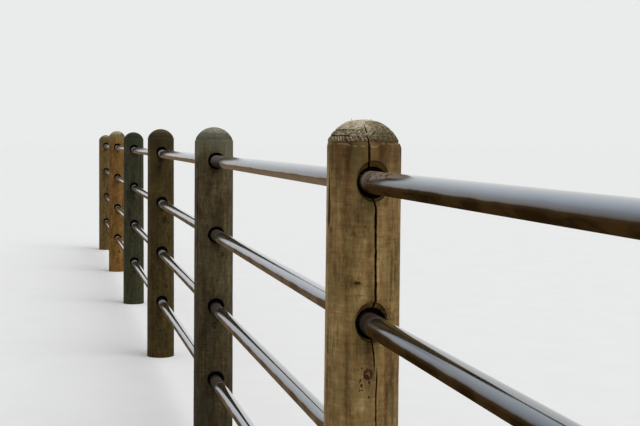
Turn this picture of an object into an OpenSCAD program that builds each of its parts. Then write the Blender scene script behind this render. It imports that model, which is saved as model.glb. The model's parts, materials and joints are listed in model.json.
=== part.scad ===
// Pipe rail fence: round timber posts with domed tops, drilled through for four
// level steel tubes. Sizes are in millimetres. X runs along the fence, Z is up, and
// the origin is on the ground at the axis of the middle post. Post 1 is the +X end.

/* [Fence] */
// Bays between posts
bays = 6; // [2:1:8]
// Distance from one post's axis to the next
bay_length = 2438; // [1500:1:3600]

/* [Posts] */
// Height of the lowest post above the ground
post_h = 1450; // [1420:1:1800]
// Diameter of a post just under its top
post_top_d = 170; // [120:1:220]
// Diameter of a post at the ground
post_base_d = 176; // [120:1:240]
// Height of the domed top
dome_h = 50; // [20:1:60]
// How far the dome's foot is cut in from the post's side
neck_step = 5; // [1:0.1:8]
// Height of the turned neck under the dome
neck_h = 5; // [2:0.5:15]

/* [Rails] */
// Outside diameter of a tube
tube_d = 50.8; // [38:0.1:60]
// Wall thickness of a tube
tube_wall = 3; // [1.5:0.1:5]
// Height of the lowest tube's axis
rail_low_z = 356; // [200:1:380]
// Height from one tube's axis to the next
rail_pitch = 317.5; // [200:0.5:320]
// Bays that one full length of tube spans
stock_bays = 3; // [1:1:4]
// How far the tubes run past the axis of each end post
rail_overhang = 200; // [130:1:400]

/* [Bores] */
// How much wider than the tube a post's bore is
bore_play = 20; // [12:0.1:25]
// Clearance under a tube that lies in a bore
seat_gap = 0.3; // [0.1:0.05:1]
// Height of the dished facing cut round each bore in the near side of a faced post
facing_h = 93; // [84:1:110]
// Width of a facing, which is less than its height because the post is round
facing_w = 77; // [74:1:90]
// How far a facing's centre sits above its bore's
facing_rise = 3.5; // [0:0.5:5]

/* [Hidden] */
$fn = 96;

rail_names = ["top_rail", "upper_rail", "lower_rail", "bottom_rail"];
// The first joint of each rail is one bay or two from the near end, so that
// neighbouring rails are never joined in the same post.
first_joint = [2, 1, 2, 1];
origin_post = floor(bays / 2) + 1;

// These lists have one entry a post and repeat on a longer fence.
post_tone = ["#857350", "#8a7450", "#4a4838", "#443723", "#33382b", "#6b4c26", "#5f5234"];
// How much taller than the lowest post each one stands
post_rise = [0, 0, 6, 17, 10, 35, 0];
// Turn of a plain post's drying checks about its axis
check_turn = [118, 0, -64, 152, 38, -121, 74];
// Posts whose bores have a facing on the near side
faced_posts = [2];
// How far a post's four bores sit below the line on which the tubes lie, top bore first.
// A tube hangs clear of a bore that sits low.
level = [0, 0, 0, 0];
bore_drop = [level, [10, 6.5, 0, 0], [8, 8, 0, 0], level, level, level, level];

post_top_r = post_top_d / 2;
post_base_r = post_base_d / 2;
neck_r = post_top_r - neck_step;
dome_r = (neck_r * neck_r + dome_h * dome_h) / (2 * dome_h);
tube_r = tube_d / 2;
bore_r = (tube_d + bore_play) / 2;
// How far a cutting shape runs past the timber that it cuts
past = 10;

function post_x(i) = (origin_post - i) * bay_length;
function in_turn(list, i) = list[(i - 1) % len(list)];
function top_z(i) = post_h + in_turn(post_rise, i);
function rim_z(i) = top_z(i) - dome_h;
function shoulder_z(i) = rim_z(i) - neck_h;
function side_r(i, z) = post_base_r + (post_top_r - post_base_r) * z / shoulder_z(i);
function is_faced(i) = len(search(i, faced_posts)) > 0;

// Rails count down from the top one, 0. A fraction is a height between two rails.
function rail_z(k) = rail_low_z + rail_pitch * (len(rail_names) - 1 - k);
function line_z(k) = rail_z(k) + bore_r - tube_r - seat_gap;
function bore_z(i, k) = line_z(k) - in_turn(bore_drop, i)[k];
// A facing is part of a sphere that meets the post's side at the facing's height and width.
function facing_x(i, k) =
    let (r = side_r(i, bore_z(i, k)), edge_x = sqrt(r * r - facing_w * facing_w / 4))
    facing_h * facing_h / 8 / (r - edge_x);
function facing_r(i, k) = sqrt(pow(facing_x(i, k) - side_r(i, bore_z(i, k)), 2) + facing_h * facing_h / 4);

// A drying check is [turn about the post's axis, depth, path], and a path point is
// [height, sideways offset, width].
split_depth = 34;
dome_split_depth = 42;
function faced_checks(i) = [
    [0, dome_split_depth,
        [[top_z(i) - 12, -14, 0.6], [top_z(i) - 22, -14, 2.4], [top_z(i) - 33, -13.6, 0.8]]],
    // From the dome down to the top bore
    [0, split_depth,
        [[top_z(i) - 36, -13.5, 1], [top_z(i) - 45, -12.5, 3.4], [rail_z(-0.16), -10.5, 4.2],
         [rail_z(0.03), -5, 4]]],
    // From the top bore to the next
    [0, split_depth,
        [[rail_z(0.03), -5, 4], [rail_z(0.15), 3, 3], [rail_z(0.18), 6, 4], [rail_z(0.5), 7, 4.2],
         [rail_z(0.83), 8, 4], [rail_z(0.93), 3, 3]]],
    // Below that bore, and the split that takes over beside it
    [0, split_depth,
        [[rail_z(1), 1, 3], [rail_z(1.11), -0.7, 2], [rail_z(1.18), 3, 2.6],
         [rail_z(1.27), 5.5, 2.4], [rail_z(1.33), 6.6, 0.8]]],
    [0, split_depth,
        [[rail_z(1.3), 12, 0.8], [rail_z(1.38), 12.5, 2.4], [rail_z(1.5), 9.6, 2.6],
         [rail_z(1.72), 11, 2.6], [rail_z(2.1), 9, 2.8], [rail_z(2.5), 12, 2],
         [rail_z(2.77), 11, 0.6]]],
    [-97, 20,
        [[rail_z(0.03), 2, 0.8], [rail_z(0.15), 0, 3], [rail_z(0.3), 1, 2.6], [rail_z(0.4), 0, 0.8]]]
];
function plain_checks(i) = [
    [in_turn(check_turn, i), split_depth,
        [[rail_z(-0.07), 0, 0.8], [rail_z(0.2), 3, 3], [rail_z(0.72), -2, 3.4],
         [rail_z(1.3), 2, 3], [rail_z(1.73), -1, 0.8]]],
    [in_turn(check_turn, i) + 157, 24,
        [[rail_z(1.45), 1, 0.6], [rail_z(1.8), -2, 2.4], [rail_z(2.3), 1, 2.8],
         [rail_z(2.7), -1, 0.6]]]
];

// Bays from the near end at which the lengths of rail k start and end
function joints(k) = concat([0], [for (b = [first_joint[k]:stock_bays:bays - 1]) b], [bays]);
function rail_node(k, j) = str(rail_names[k], "_", j);

// The post as turned: tapered side, stepped neck and spherical dome
module post_blank(i) {
    rotate_extrude() {
        polygon([[0, 0], [post_base_r, 0], [post_top_r, shoulder_z(i)],
                 [neck_r, shoulder_z(i)], [neck_r, rim_z(i)], [0, rim_z(i)]]);
        intersection() {
            translate([0, top_z(i) - dome_r]) circle(r = dome_r);
            translate([0, rim_z(i)]) square([neck_r + past, dome_h + past]);
        }
    }
}

// A thin radial cut that follows a path up the side of a post
module check_cut(check) {
    depth = check[1];
    path = check[2];
    outline = concat(
        [for (p = path) [p[1] - p[2] / 2, p[0]]],
        [for (n = [len(path) - 1:-1:0]) [path[n][1] + path[n][2] / 2, path[n][0]]]
    );
    rotate([0, 0, check[0]])
        translate([post_top_r - depth, 0, 0])
            rotate([90, 0, 90])
                linear_extrude(depth + abs(post_base_r - post_top_r) + past)
                    polygon(outline);
}

// Bore for rail k, with the facing on a faced post
module rail_hole(i, k) {
    reach = max(post_base_r, post_top_r) + past;
    translate([-reach, 0, bore_z(i, k)])
        rotate([0, 90, 0]) cylinder(r = bore_r, h = 2 * reach);
    if (is_faced(i))
        translate([facing_x(i, k), 0, bore_z(i, k) + facing_rise])
            sphere(r = facing_r(i, k));
}

module post(i) {
    color(in_turn(post_tone, i))
        translate([post_x(i), 0, 0])
            difference() {
                post_blank(i);
                for (check = is_faced(i) ? faced_checks(i) : plain_checks(i)) check_cut(check);
                for (k = [0:len(rail_names) - 1]) rail_hole(i, k);
            }
}

// Length j of rail k. Lengths butt in the middle of a post.
module rail(k, j) {
    starts = joints(k);
    near_x = post_x(1 + starts[j - 1]) + (j == 1 ? rail_overhang : 0);
    far_x = post_x(1 + starts[j]) - (j == len(starts) - 1 ? rail_overhang : 0);
    color("#b4b9c0")
        translate([far_x, 0, rail_z(k)])
            rotate([0, 90, 0])
                difference() {
                    cylinder(r = tube_r, h = near_x - far_x);
                    translate([0, 0, -past])
                        cylinder(r = tube_r - tube_wall, h = near_x - far_x + 2 * past);
                }
}

for (i = [1:bays + 1])
    post(i);
for (k = [0:len(rail_names) - 1]) for (j = [1:len(joints(k)) - 1])
    rail(k, j);
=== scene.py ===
"""Looks of a post and pipe rail fence: rough round timber posts and bright steel tubes.

Lengths are in metres. A post is made in its own coordinates, with the origin on its axis at the
ground, X along the fence and Z up. Angles go round the axis from +X towards +Y, and phi is the
angle from the dome's top, seen from the centre of its sphere.
"""
import json
import math

import bmesh
import bpy
import numpy as np
from mathutils import Matrix, Vector


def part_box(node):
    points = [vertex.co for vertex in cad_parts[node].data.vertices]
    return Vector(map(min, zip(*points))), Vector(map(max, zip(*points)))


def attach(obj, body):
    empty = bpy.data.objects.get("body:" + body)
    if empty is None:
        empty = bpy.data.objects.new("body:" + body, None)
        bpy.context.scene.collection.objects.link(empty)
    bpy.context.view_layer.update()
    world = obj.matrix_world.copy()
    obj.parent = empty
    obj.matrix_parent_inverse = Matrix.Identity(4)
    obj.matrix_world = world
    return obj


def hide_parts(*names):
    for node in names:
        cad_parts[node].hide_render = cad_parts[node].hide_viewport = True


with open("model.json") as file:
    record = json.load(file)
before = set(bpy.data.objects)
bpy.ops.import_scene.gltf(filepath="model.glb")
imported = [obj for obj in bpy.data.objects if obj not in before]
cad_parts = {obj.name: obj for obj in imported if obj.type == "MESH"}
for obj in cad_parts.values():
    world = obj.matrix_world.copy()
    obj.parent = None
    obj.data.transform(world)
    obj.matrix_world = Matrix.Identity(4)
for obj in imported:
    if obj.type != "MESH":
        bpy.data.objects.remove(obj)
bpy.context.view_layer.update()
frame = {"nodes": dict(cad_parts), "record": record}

# Camera, at the place and angle from which the fence was seen
CAMERA_AT = (7.386, -0.697, 1.399)
CAMERA_YAW = math.radians(13.34)
CAMERA_PITCH = math.radians(3.60)
CAMERA_ROLL = math.radians(0.55)
CAMERA_LENS = 64.28
SENSOR_WIDTH = 36

# Studio
KEY_FROM = (0.5, 0.35, 0.8)
KEY_ENERGY = 1.5
KEY_ANGLE = math.radians(50)
AMBIENT = (0.97, 0.98, 1.0, 1.0)
AMBIENT_STRENGTH = 0.62
FLOOR_HALF = 400

# Fence
FRONT_POST = 2
RAILS = ("top_rail", "upper_rail", "lower_rail", "bottom_rail")
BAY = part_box("post_1")[0].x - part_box("post_2")[0].x
RAIL_BOXES = [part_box(f"{rail}_1") for rail in RAILS]
RAIL_Z = [(low.z + high.z) / 2 for low, high in RAIL_BOXES]
RAIL_PITCH = RAIL_Z[0] - RAIL_Z[1]
SLOTS = {part["node"]: part["material_slot"] for part in frame["record"]["subparts"]}

# Tubes
TUBE_R = (RAIL_BOXES[0][1].z - RAIL_BOXES[0][0].z) / 2
TUBE_WALL = 0.003
TUBE_SIDES = 64
# Width of the broken edge at a tube's ends
TUBE_EDGE = 0.0006
TUBE_STEP = 0.3

# Posts as turned
POST_TOP_R = 0.085
NECK_R = 0.080
NECK_H = 0.005
DOME_H = 0.050
DOME_R = (NECK_R**2 + DOME_H**2) / (2 * DOME_H)
DOME_ANGLE = math.asin(NECK_R / DOME_R)
# Sizes of a post's cells: round the side, up the side and on the dome
CELLS = (0.0036, 0.012, 0.0022)
NEAR_CELLS = (0.0026, 0.0075, 0.00125)
# Height of the finer cells under the side's top edge
FINE_H = 0.045

# Wear of a post's side: width and length of the grain, and of the fine grain
GRAIN = (0.013, 0.20)
FINE_GRAIN = (0.0055, 0.06)
# How high up a flat fades in
FACET_FADE = 0.15
# A knot wider than this bulges. How far its middle dips, and how far the wood round it rises.
BULGING_KNOT = 0.005
KNOT_DIP = 0.0012
KNOT_RISE = 0.0008
# A knot narrower than this is dark right through
SMALL_KNOT = 0.006

# Distances up the dome from its foot at which the cutter's rows begin
DOME_ROWS = np.array([-0.004, 0.0136, 0.0294, 0.0450])
# Depth of the first row, and how much shallower the second is
ROW_DEPTH = 0.0030
ROW_STEP = 0.0010
# Torn strokes in each row: how many go round the dome, and how they lean
TICKS = 56
TICK_LEANS = np.array([-0.6, 0.7, 0.3])
TICK_DEPTH = 0.0006
NEAR_TICK_DEPTH = 0.0017
# Angle from the middle of the rows to where they start to fade, and to where they end
ROWS_SPAN = math.radians(34)
ROWS_END = math.radians(66)
# Depth of all torn fibres together at which the painted shade and dirt in a hollow is darkest
DARKEST = 0.0024

# Bores and facings
BORE_R = TUBE_R + 0.010
SEAT_GAP = 0.0003
LINE_Z = [z + BORE_R - TUBE_R - SEAT_GAP for z in RAIL_Z]
# How far each bore of a post sits below the line, where it does
BORE_DROP = {2: (0.010, 0.0065, 0, 0), 3: (0.008, 0.008, 0, 0)}
# Distance from the post's axis at which a bore's wide mouth begins, and the gap round the tube
# in the closer hole between the mouths
MOUTH_FROM = 0.050
CLOSE_GAP = 0.0001
# Rings of a bore's cutting form in each mouth and between them, and its sides
MOUTH_RINGS, INNER_RINGS, BORE_SIDES = 10, 12, 72
BORE_ROUGH = 0.0006
FACED_POSTS = (FRONT_POST,)
FACING_H = 0.093
FACING_W = 0.077
FACING_RISE = 0.0035
FACING_RINGS, FACING_SIDES = 56, 96
FACING_ROUGH = 0.0007
# Angle from each end of a facing's ball at which its rings start
FACING_START = 0.03

# Drying checks
CHECK_TURN = (118, 0, -64, 152, 38, -121, 74)
SPLIT_DEPTH = 0.034
# Distance between the points of a check's jagged path, and how far they stray
CHECK_STEP = 0.009
CHECK_STRAY = 0.0016
# How far a cutting shape runs past the timber that it cuts
PAST = 0.010

# Angles at which an edge is sharp
TIMBER_EDGE = math.radians(38)
STEEL_EDGE = math.radians(40)

# Places of a post's materials in its list
SIDE, TOP, CUT, FACING = range(4)

# Noises of a post's side: whether it follows the wavy grain, the coordinates' stretch, scale,
# detail, roughness and offset
SIDE_NOISES = {
    "streaks": (True, (1, 1, 0.05), 85, 2, 0.5, 0),
    "lines": (True, (1, 1, 0.025), 400, 2, 0.6, 1),
    "blotches": (False, (1, 1, 0.45), 20, 3, 0.55, 2),
    "mottles": (False, (1, 1, 0.5), 75, 3, 0.6, 7),
    "specks": (False, (1, 1, 0.4), 330, 2, 0.6, 3),
    "saw_marks": (False, (0.15, 0.15, 1), 150, 2, 0.5, 8),
    "tint": (False, (1, 1, 0.25), 30, 2, 0.5, 4),
    "ruddy": (False, (1, 1, 0.35), 36, 2, 0.5, 9),
    "contour": (True, (1, 1, 0.03), 60, 1.5, 0.5, 5),
    "sparse": (False, (1, 1, 0.25), 30, 2, 0.5, 6),
}
# How far each noise swings the tone of the side
TONE_SWINGS = dict(streaks=0.42, lines=0.30, blotches=0.62, mottles=0.58, specks=0.34, saw_marks=0.38)

# Colours of each post's timber, as red, green and blue from 0 to 255. Stain and foot are how much
# darker the side is at its top and at the ground.
TONES = {
    "weathered_tan_timber": dict(
        deep=(62, 48, 27), dark=(84, 68, 42), base=(112, 94, 62), light=(134, 114, 76),
        pale=(160, 142, 106), tint=(104, 104, 66), ruddy=(118, 84, 54), knot=(58, 34, 14),
        crack=(30, 21, 10), cut=(74, 56, 26), stain=0.12, foot=0, top_deep=(52, 45, 30),
        top_dark=(98, 88, 66), top=(150, 140, 114), top_pale=(205, 197, 175), moss=(110, 104, 66)),
    "tan_timber": dict(
        deep=(66, 46, 20), dark=(91, 69, 38), base=(118, 93, 55), light=(141, 115, 71),
        pale=(178, 155, 114), tint=(112, 102, 60), ruddy=(124, 86, 54), knot=(48, 24, 4),
        crack=(26, 15, 6), cut=(84, 62, 14), cut_low=(80, 56, 16), stain=0.26, foot=0,
        top_deep=(44, 35, 20), top_dark=(96, 83, 60), top=(160, 148, 121), top_pale=(230, 221, 199),
        moss=(108, 98, 58)),
    "grey_green_timber": dict(
        deep=(33, 26, 12), dark=(51, 41, 23), base=(69, 58, 36), light=(89, 79, 54), pale=(112, 104, 80),
        tint=(60, 61, 44), ruddy=(72, 55, 31), knot=(24, 16, 8), crack=(14, 11, 6), cut=(44, 36, 20),
        stain=-0.34, foot=0.20, top_deep=(50, 51, 40), top_dark=(74, 74, 60), top=(98, 97, 81),
        top_pale=(158, 156, 138), moss=(86, 88, 70)),
    "dark_brown_timber": dict(
        deep=(27, 20, 7), dark=(42, 33, 13), base=(58, 47, 20), light=(76, 62, 30), pale=(98, 82, 48),
        tint=(56, 49, 20), ruddy=(66, 46, 18), knot=(20, 12, 5), crack=(12, 8, 4), cut=(38, 28, 14),
        stain=0.22, foot=0, top_deep=(26, 20, 9), top_dark=(42, 35, 18), top=(58, 49, 27),
        top_pale=(92, 82, 54), moss=(54, 48, 26)),
    "green_black_timber": dict(
        deep=(24, 22, 12), dark=(38, 36, 22), base=(52, 50, 32), light=(67, 65, 44), pale=(88, 86, 64),
        tint=(46, 54, 38), ruddy=(54, 45, 26), knot=(16, 12, 7), crack=(10, 9, 5), cut=(32, 28, 16),
        stain=0.02, foot=0, top_deep=(24, 26, 20), top_dark=(36, 40, 31), top=(48, 54, 42),
        top_pale=(74, 80, 66), moss=(46, 52, 34)),
    "orange_brown_timber": dict(
        deep=(60, 38, 13), dark=(84, 57, 24), base=(110, 78, 36), light=(134, 100, 51), pale=(160, 130, 80),
        tint=(102, 80, 36), ruddy=(122, 74, 30), knot=(46, 24, 8), crack=(26, 16, 7), cut=(66, 44, 18),
        stain=-0.10, foot=0, top_deep=(64, 52, 32), top_dark=(104, 92, 64), top=(138, 128, 98),
        top_pale=(176, 168, 140), moss=(110, 96, 58)),
    "olive_timber": dict(
        deep=(48, 35, 15), dark=(70, 53, 25), base=(94, 74, 40), light=(115, 95, 57), pale=(142, 125, 86),
        tint=(80, 74, 40), ruddy=(94, 66, 34), knot=(38, 24, 10), crack=(22, 15, 7), cut=(58, 44, 20),
        stain=0.05, foot=0, top_deep=(46, 40, 24), top_dark=(78, 70, 46), top=(112, 104, 76),
        top_pale=(156, 148, 120), moss=(86, 78, 46)),
}

# How bright the painted sky reflection on each length of tube is, and how high up each rail the painted
# reflection of the ground reaches, as a share of the tube's radius above its axis. The ground's reflection
# is painted as a brown band on the underside, with its top set for each rail where the horizon would be
# reflected towards the camera
SHINE = {"top_rail_1": 0.74, "upper_rail_1": 0.52, "lower_rail_1": 0.60}
FAR_SHINE = 0.78
GROUND_REFLECTION_TOPS = (0.06, 0.27, 0.42, 0.50)
# How dusty the top rail is, and the others; the same numbers pick which painted shade and painted
# reflections each rail gets
TOP_DUST_AND_PAINTED_LIGHT, DUST_AND_PAINTED_LIGHT = 1.0, 0.3
# Places along the fence between which a zone of the tubes fades in or out: beyond post 2, in the
# far bays, and the start and end of the zone beside post 3
PAST_POST_2 = (4.95, 4.75)
FAR_BAYS = (1.4, 1.0)
BY_POST_3 = ((3.8, 3.4), (2.3, 2.5))
# Colours of the steel from the underside up to the crest, as shares of red, green and blue: a painted
# reflection of a sky, brighter towards the crest
STEEL_REFLECTION_TONES = (
    (0.50, (0.095, 0.092, 0.090, 1)), (0.625, (0.19, 0.20, 0.231, 1)), (0.742, (0.33, 0.375, 0.436, 1)),
    (0.868, (0.48, 0.54, 0.61, 1)), (0.97, (0.64, 0.66, 0.68, 1)))
BLACK = (0, 0, 0, 1)
# Colour of a dark band under the crest of the lower tubes, a painted reflection of the rail above
RAIL_REFLECTION_TONE = (0.07, 0.10, 0.14, 1)
# Colours on the tubes, from 0 to 255: dirt; the painted reflection of the ground on the underside; and the
# zone in and by a post, which is painted shade, near black in the lower rails' bores, darker underneath, and
# on the top rail lighter inside the bore against its shade
TUBE_TONES = dict(
    dirt_low=(66, 54, 46), dirt=(158, 137, 124), dirt_thin=(50, 48, 44), dirt_beyond=(176, 178, 180),
    dirt_far=(116, 104, 96), reflected_ground_dark=(40, 27, 10), reflected_ground=(62, 44, 22), reflected_ground_beyond=(76, 58, 36),
    reflected_ground_light=(110, 90, 68), reflected_ground_pale=(136, 116, 94), reflected_ground_edge=(84, 70, 52), painted_light_inner=(156, 138, 120),
    worn=(104, 88, 74), under=(38, 25, 11), dark=(15, 11, 8), shade_spot=(38, 31, 24),
    shade_outer=(60, 52, 43), beyond_under=(42, 36, 28), lit_crest_beyond=(96, 90, 83))


def smooth(x, low, high):
    """0 below low, 1 above high and a smooth step between them"""
    t = np.clip((x - low) / (high - low), 0, 1)
    return t * t * (3 - 2 * t)


def lattice(ix, iy, iz, seed):
    """A fixed number from 0 to 1 for each point of a whole-number lattice"""
    mask = 0xFFFFFFFF
    h = (ix * 374761393 + iy * 668265263 + iz * 1274126177 + seed * 362437) & mask
    h = ((h ^ (h >> 13)) * 1274126177) & mask
    return ((h ^ (h >> 16)) & mask) / mask


def noise(x, y, z, seed):
    """Smooth noise from 0 to 1 with features about one unit wide"""
    cells = [np.floor(v).astype(np.int64) for v in (x, y, z)]
    fx, fy, fz = [smooth(v - c, 0, 1) for v, c in zip((x, y, z), cells)]
    total = 0
    for dx in (0, 1):
        for dy in (0, 1):
            for dz in (0, 1):
                weight = ((fx if dx else 1 - fx) * (fy if dy else 1 - fy) * (fz if dz else 1 - fz))
                total = total + weight * lattice(cells[0] + dx, cells[1] + dy, cells[2] + dz, seed)
    return total


def layered(x, y, z, seed, layers=3):
    """Noise with finer layers added, from 0 to 1"""
    total, share, sum_of_shares = 0, 1.0, 0
    for n in range(layers):
        total = total + share * noise(x * 2**n, y * 2**n, z * 2**n, seed + 31 * n)
        sum_of_shares += share
        share *= 0.5
    return total / sum_of_shares


def flat_noise(angle, radius, size, seed):
    """Noise on the plan of a post, at an angle and distance from its axis"""
    return noise(np.cos(angle) * radius / size, np.sin(angle) * radius / size, 0, seed)


def ring_angles(count):
    return np.arange(count) * 2 * math.pi / count


def ring_round(angles, r, z, dx=0, dy=0):
    """Points round the post's axis, or round a line beside it"""
    return np.stack([r * np.cos(angles) + dx, r * np.sin(angles) + dy, z + 0 * angles], axis=-1)


def ring_along(angles, x, r, z=0):
    """Points round a line along the fence at the height z"""
    return np.stack([x + 0 * angles, r * np.cos(angles), z + r * np.sin(angles)], axis=-1)


def from_turn(angle, turn):
    """Signed angle from a turn in degrees, from -pi to pi"""
    return (angle - math.radians(turn) + math.pi) % (2 * math.pi) - math.pi


class Post:
    """One post's sizes, taken from its box in the frame, and its own marks"""

    def __init__(self, number):
        self.number = number
        self.name = f"post_{number}"
        low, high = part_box(self.name)
        self.axis_x = (low.x + high.x) / 2
        self.base_r = (high.y - low.y) / 2
        self.top_z = high.z
        self.shoulder_z = high.z - DOME_H - NECK_H
        self.faced = number in FACED_POSTS
        self.near = number == FRONT_POST
        self.seed = 100 * number
        self.random = np.random.default_rng(self.seed)
        # Sets swell, rough, knots and the rest, which are explained above NEAR_MARKS
        vars(self).update(NEAR_MARKS if self.near else self.random_marks())

    def random_marks(self):
        pick = self.random.uniform
        return dict(
            swell=0.0006, rough=0.0010,
            knots=self.random_knots(),
            facets=[(pick(-180, 180), pick(9, 13), pick(0, 1.2), 1) for _ in range(2)],
            bands=[(pick(-180, 180), pick(5, 25), pick(-0.5, 0.6)) for _ in range(6)],
            wear=[(turn, pick(0.002, 0.014), pick(0.0008, 0.004), pick(0.001, 0.010))
                  for turn in range(-180, 180, 45)],
            fibres=[(pick(-180, 180), pick(0.40, 0.75), 0.0035) for _ in range(5)],
            stains=[(pick(-180, 180), pick(0.1, 1.35), pick(5, 14), pick(0.02, 0.12), pick(-0.8, 1.2))
                    for _ in range(14)],
            dome_shift=(0, 0), dome_lean=0, dome_full=(0, 0), rows_turn=pick(-180, 180),
            moss_turn=pick(-180, 180))

    def random_knots(self):
        """Knots in rings round the trunk, as a pine's branches grow"""
        pick = self.random.uniform
        knots = []
        z = pick(0.15, 0.35)
        while z < self.shoulder_z - 0.05:
            for turn in np.arange(self.random.integers(2, 5)) * pick(75, 130):
                size = pick(0.006, 0.012)
                knots.append((turn + pick(-20, 20), z + pick(-0.02, 0.02), size,
                              size * pick(1.2, 1.6), pick(0.5, 1)))
            z += pick(0.28, 0.5)
        return knots

    def side_r(self, z):
        return self.base_r + (POST_TOP_R - self.base_r) * z / self.shoulder_z

    def bore_z(self, k):
        return LINE_Z[k] - BORE_DROP.get(self.number, (0, 0, 0, 0))[k]

    def facing(self, k):
        """Centre and radius of the ball whose dish meets the side at a facing's height and width"""
        side = self.side_r(self.bore_z(k))
        edge = math.sqrt(side**2 - FACING_W**2 / 4)
        centre_x = FACING_H**2 / 8 / (side - edge)
        return (centre_x, self.bore_z(k) + FACING_RISE), math.hypot(centre_x - side, FACING_H / 2)

    def checks(self):
        """[turn in degrees, depth, [(height, sideways offset, width)...]] of each drying check"""
        own_turn, checks = (0, NEAR_CHECKS) if self.faced else (CHECK_TURN[self.number - 1], PLAIN_CHECKS)
        made = []
        for turn, depth, top_points, points in checks:
            heights = [self.top_z - point[0] for point in top_points]
            heights += [RAIL_Z[0] - point[0] * RAIL_PITCH for point in points]
            path = [(z, offset / 1000, width / 1000)
                    for z, (_, offset, width) in zip(heights, top_points + points)]
            made.append((own_turn + turn, depth, path))
        return made


# Drying checks of the post in front, and of the others from a turn of their own: [turn, depth,
# points near the top, points between the rails]. A point is [distance below the post's top in
# metres, or a rail's number where a fraction is a height between two rails; sideways offset and
# width in millimetres].
NEAR_CHECKS = [
    (0, 0.042, [(0.012, -14, 1.2), (0.022, -14, 3.2), (0.033, -13.6, 1.6)], []),
    (0, SPLIT_DEPTH, [(0.036, -13.5, 1), (0.045, -12.5, 3.4)], [(-0.16, -10.5, 4.2), (0.03, -5, 4)]),
    (0, SPLIT_DEPTH, [], [(0.03, -5, 4), (0.15, 2, 3), (0.18, 5, 4), (0.5, 6, 4.2), (0.83, 7, 4),
                          (0.93, 3, 3)]),
    (0, SPLIT_DEPTH, [], [(1, 1, 3), (1.11, -0.7, 2), (1.18, 3, 2.6), (1.27, 5.5, 2.4), (1.33, 6.6, 0.8)]),
    (0, SPLIT_DEPTH, [], [(1.3, 12, 0.8), (1.38, 12.5, 2.4), (1.5, 9.6, 2.6), (1.72, 11, 2.6),
                          (2.1, 9, 2.8), (2.5, 12, 2), (2.77, 11, 0.6)]),
    (-82, 0.020, [], [(-0.10, 2, 1.0), (0.08, 2, 6), (0.18, 1, 10), (0.28, 0, 10), (0.33, -1, 1.0)]),
]
PLAIN_CHECKS = [
    (0, SPLIT_DEPTH, [], [(-0.07, 0, 0.8), (0.2, 3, 3), (0.72, -2, 3.4), (1.3, 2, 3), (1.73, -1, 0.8)]),
    (157, 0.024, [], [(1.45, 1, 0.6), (1.8, -2, 2.4), (2.3, 1, 2.8), (2.7, -1, 0.6)]),
]
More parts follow.
